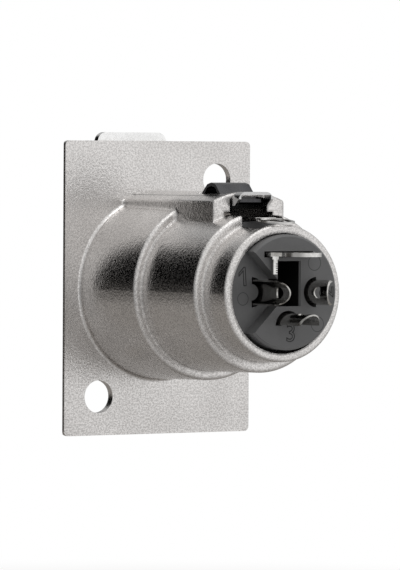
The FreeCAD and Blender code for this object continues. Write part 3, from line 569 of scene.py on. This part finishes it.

# %% [markdown]
# ## The colour of a metal
#
# One recipe serves all the metals. Its colour clouds between two tones, darkens a little in the
# pits of the grain, turns dark inside the latch channel as painted shade, and can be duller
# towards the rear, over a lever's tail.

# %% write the recipe for a metal's colour
tail_fade = (18.6 * mm, 19.6 * mm)


def metal_colour(tree, place, speckle, light, dark, clouds, speckle_amount, painted_tunnel_shade, tail_tone):
    """The colour of a metal at each place, from its two tones and its grain."""
    slow = place_group(tree, cloud_group, place, Clouds_per_metre=clouds)
    base = mix_colour(tree, slow.outputs["Cloud"], (*dark, 1), (*light, 1))
    shade = smooth_range(tree, speckle, 0.0, 1.0, 1.0 - speckle_amount, 1.0)
    if tail_tone < 1.0:
        _, along, _ = split_axes(tree, place)
        tail = smooth_range(tree, along, *tail_fade, 1.0, tail_tone)
        shade = math_node(tree, "MULTIPLY", shade, tail)
    shade_grey = tree.nodes.new("ShaderNodeCombineXYZ")
    for axis in range(3):
        tree.links.new(shade, shade_grey.inputs[axis])
    grained = mix_colour(tree, 1.0, base, shade_grey.outputs[0], "MULTIPLY")
    # Painted shade: inside the latch channel the colour turns to a dark grey.
    tunnel = place_group(tree, tunnel_group, place)
    return mix_colour(tree, tunnel.outputs["Inside"], grained, grey(painted_tunnel_shade))


print("tail fades from", round(tail_fade[0] / mm, 1), "to", round(tail_fade[1] / mm, 1), "mm")

# %% [markdown]
# ## The recipe for a metal
#
# The colour goes to a metallic shader. The gloss follows the grain, so that the pits are rougher
# than the tops, and the grain's height gives the bump.

# %% write the metal recipe
fine_relief = 0.02 * mm


def metal(name, light, dark, grains, speckle_amount, roughness, bump, clouds=150.0,
          relief_depth=fine_relief, painted_tunnel_shade=0.1, soft_edge=0.0, tail_tone=1.0):
    """A metal with its own tones, grain and gloss. Roughness is that of the tops and the pits."""
    material = bpy.data.materials.new(name)
    material.use_nodes = True
    tree = material.node_tree
    shader = tree.nodes["Principled BSDF"]
    shader.inputs["Metallic"].default_value = 1.0
    place = tree.nodes.new("ShaderNodeTexCoord").outputs["Object"]
    grain = place_group(tree, grain_group, place, Grains_per_metre=grains)
    speckle = grain.outputs["Speckle"]
    colour = metal_colour(tree, place, speckle, light, dark, clouds, speckle_amount,
                          painted_tunnel_shade, tail_tone)
    tree.links.new(colour, shader.inputs["Base Color"])
    smooth_tops, rough_pits = roughness
    rough = smooth_range(tree, speckle, 0.0, 1.0, rough_pits, smooth_tops)
    tree.links.new(rough, shader.inputs["Roughness"])
    relief = tree.nodes.new("ShaderNodeBump")
    relief.inputs["Strength"].default_value = bump
    relief.inputs["Distance"].default_value = relief_depth
    tree.links.new(grain.outputs["Height"], relief.inputs["Height"])
    if soft_edge > 0:
        tree.links.new(softened_normal(tree, place, soft_edge), relief.inputs["Normal"])
    tree.links.new(relief.outputs["Normal"], shader.inputs["Normal"])
    return material


print("fine relief:", round(fine_relief / mm, 3), "mm")

# %% [markdown]
# ## The five metals
#
# The casting is coarse and satin. The lever is pressed from bright plated sheet. The contacts
# are smooth but tarnished, the earth tag and the shell lug still have their silver look, and the
# spring is blued, almost black with a low sheen.

# %% make the metals
casting = metal("satin_nickel_casting", (0.78, 0.76, 0.745), (0.71, 0.69, 0.675),
                grains=4400.0, speckle_amount=0.22, roughness=(0.18, 0.30), bump=1.0,
                relief_depth=0.03 * mm, soft_edge=0.5 * mm)
lever_plate = metal("bright_plated_sheet", (0.97, 0.97, 0.965), (0.90, 0.90, 0.895),
                    grains=3000.0, speckle_amount=0.04, roughness=(0.16, 0.24), bump=0.15,
                    tail_tone=0.62)
contact_plate = metal("tarnished_contact", (0.60, 0.59, 0.57), (0.44, 0.43, 0.41),
                      grains=2600.0, speckle_amount=0.12, roughness=(0.10, 0.20), bump=0.30,
                      clouds=500.0)
tag_plate = metal("silvered_tag", (0.88, 0.87, 0.85), (0.70, 0.69, 0.67),
                  grains=2600.0, speckle_amount=0.12, roughness=(0.10, 0.20), bump=0.30,
                  clouds=500.0)
blued_strip = metal("blued_spring_steel", (0.075, 0.075, 0.078), (0.042, 0.042, 0.045),
                    grains=3000.0, speckle_amount=0.10, roughness=(0.22, 0.30), bump=0.15,
                    painted_tunnel_shade=0.03)
metals = (casting, lever_plate, contact_plate, tag_plate, blued_strip)
print("metals:", [m.name for m in metals])

# %% [markdown]
# ## The plastic's colour
#
# The insulator is dark grey and slightly cloudy, as glass-filled plastic is. Three ejector rings
# show on its rear face. The hole in its middle is so deep that hardly any light comes back from
# it, so its inside is painted near black as painted shade.

# %% colour the plastic
dark_tone = (0.088, 0.088, 0.089, 1)
light_tone = (0.106, 0.106, 0.107, 1)
ring_tone = grey(0.016)
painted_core_shade = grey(0.004)
plastic_clouds = 260.0
ejector_marks = [(-3.55, 3.50, 0.85), (-4.00, -3.55, 0.85), (5.00, -0.60, 0.72)]
core_sides = ((-1.52, 1.52), (10.0, 27.95), (-1.5, 3.8))

plastic = bpy.data.materials.new("matt_grey_moulding")
plastic.use_nodes = True
tree = plastic.node_tree
shader = tree.nodes["Principled BSDF"]
place = tree.nodes.new("ShaderNodeTexCoord").outputs["Object"]
slow = place_group(tree, cloud_group, place, Clouds_per_metre=plastic_clouds)
tone = mix_colour(tree, slow.outputs["Cloud"], dark_tone, light_tone)
for across, height_up, radius in ejector_marks:
    mark = place_group(tree, mark_group, place, Across=across * mm, Up=height_up * mm,
                       Radius=radius * mm)
    tone = mix_colour(tree, mark.outputs["Line"], tone, ring_tone)
core = 1.0
for axis, (low, high) in zip(split_axes(tree, place), core_sides):
    core = math_node(tree, "MULTIPLY", band(tree, axis, low * mm, high * mm), core)
# Painted shade: the deep middle hole is coloured near black.
tone = mix_colour(tree, core, tone, painted_core_shade)
tree.links.new(tone, shader.inputs["Base Color"])
print("ejector rings:", len(ejector_marks))

# %% [markdown]
# ## The plastic's surface
#
# Its colour is plain, so its life comes from a soft sheen that follows the clouds, and from a
# fine, shallow moulding texture.

# %% give the plastic its sheen and texture
gloss_range = (0.42, 0.52)
texture_grains = 4200.0
texture_depth = 0.01 * mm
texture_strength = 0.12

tree.links.new(smooth_range(tree, slow.outputs["Cloud"], 0.0, 1.0, *gloss_range),
               shader.inputs["Roughness"])
grain = place_group(tree, grain_group, place, Grains_per_metre=texture_grains)
relief = tree.nodes.new("ShaderNodeBump")
relief.inputs["Strength"].default_value = texture_strength
relief.inputs["Distance"].default_value = texture_depth
tree.links.new(grain.outputs["Height"], relief.inputs["Height"])
tree.links.new(relief.outputs["Normal"], shader.inputs["Normal"])
print("plastic roughness linked:", shader.inputs["Roughness"].is_linked)

# %% [markdown]
# ## Dress the nodes
#
# Every CAD node keeps its mesh and only gets a finish. A node may come with a slot of its own,
# so the finish goes into the slots that are there.

# %% assign the finishes
finishes = {
    "housing": casting,
    "insert": plastic,
    "contact_1": contact_plate,
    "contact_2": contact_plate,
    "contact_3": contact_plate,
    "earth_tag": tag_plate,
    "shell_lug": tag_plate,
    "latch_lever": lever_plate,
    "latch_spring": blued_strip,
}
for name, material in finishes.items():
    node = nodes[name]
    if not node.data.materials:
        node.data.materials.append(material)
    for slot in node.material_slots:
        slot.material = material
    print(name, "->", material.name)

# %% [markdown]
# ## The shaded edge of the numbers
#
# Each contact has its number moulded beside it, so that the person who solders the cable can
# tell them apart. Such a number is the same plastic as the face. We see it only because its edge
# lies in its own shade, so the thin bead that draws it is nearly black.

# %% make the edge's plastic
edge_tone = grey(0.012)
edge_roughness = 0.6

edge_plastic = bpy.data.materials.new("shaded_moulded_edge")
edge_plastic.use_nodes = True
edge_shader = edge_plastic.node_tree.nodes["Principled BSDF"]
edge_shader.inputs["Base Color"].default_value = edge_tone
edge_shader.inputs["Roughness"].default_value = edge_roughness
print("edge material:", edge_plastic.name)

# %% [markdown]
# ## The shapes of the numbers
#
# A text object gives the two and the three. The built-in one is hardly more than a bar, while
# the mould-maker's has a long flag, so it is drawn as a closed flat curve through its corners,
# in parts of its height.

# %% draw the outlines
def text_outline(body, size):
    """The outline of a number in the plain built-in letters."""
    curve = bpy.data.curves.new("number_" + body + "_curve", "FONT")
    curve.body = body
    curve.size = size
    curve.resolution_u = 4
    curve.align_x = "CENTER"
    curve.align_y = "CENTER"
    return curve


def flagged_one(body, size):
    """The outline of a number one, drawn as a bar with a long flag."""
    corners = [(0.02, -0.35), (0.12, -0.35), (0.12, 0.35), (0.05, 0.35), (-0.18, 0.14),
               (-0.18, 0.04), (0.02, 0.22)]
    curve = bpy.data.curves.new("number_" + body + "_curve", "CURVE")
    curve.dimensions = "2D"
    spline = curve.splines.new("POLY")
    spline.points.add(len(corners) - 1)
    for point, (across, high) in zip(spline.points, corners):
        point.co = (across * size, high * size, 0, 1)
    spline.use_cyclic_u = True
    return curve


print("outlines:", text_outline.__name__, flagged_one.__name__)

# %% [markdown]
# ## The numbers on the moulding
#
# A bead along each outline stands up from the face by less than a tenth of a millimetre. The
# curve becomes a mesh before it is put in its place, because a finished piece keeps its place in
# its mesh. The first contact stands in a sunken sector, so its number lies on a lower face.

# %% write the numbers
main_face = 28.2 * mm
sector_depth = 1.9 * mm
first_face = main_face - sector_depth
bead = 0.055 * mm
face_rear = Matrix(((-1, 0, 0), (0, 0, 1), (0, 1, 0))).to_4x4()


def moulded_number(body, draw, size, x, y, z, turn_by=0):
    """A number's outline as a bead that faces +Y, with its middle at x, z on the plane y."""
    curve = draw(body, size)
    curve.fill_mode = "NONE"
    curve.bevel_depth = bead
    curve.bevel_resolution = 1
    helper = bpy.data.objects.new("number_" + body + "_helper", curve)
    scene.collection.objects.link(helper)
    bpy.context.view_layer.update()
    mesh = bpy.data.meshes.new_from_object(helper)
    bpy.data.objects.remove(helper)
    lean = Matrix.Rotation(math.radians(turn_by), 4, "Z")
    mesh.transform(Matrix.Translation((x, y, z)) @ face_rear @ lean)
    piece = bpy.data.objects.new("number_" + body, mesh)
    scene.collection.objects.link(piece)
    piece.data.materials.clear()
    piece.data.materials.append(edge_plastic)
    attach(piece, "socket")
    return piece


digits = [
    moulded_number("1", flagged_one, 3.0 * mm, 5.00 * mm, first_face, 1.95 * mm, turn_by=4),
    moulded_number("2", text_outline, 2.7 * mm, -5.35 * mm, main_face, 0.15 * mm, turn_by=90),
    moulded_number("3", text_outline, 2.9 * mm, -0.35 * mm, main_face, -4.60 * mm),
]
print("numbers:", [d.name for d in digits])
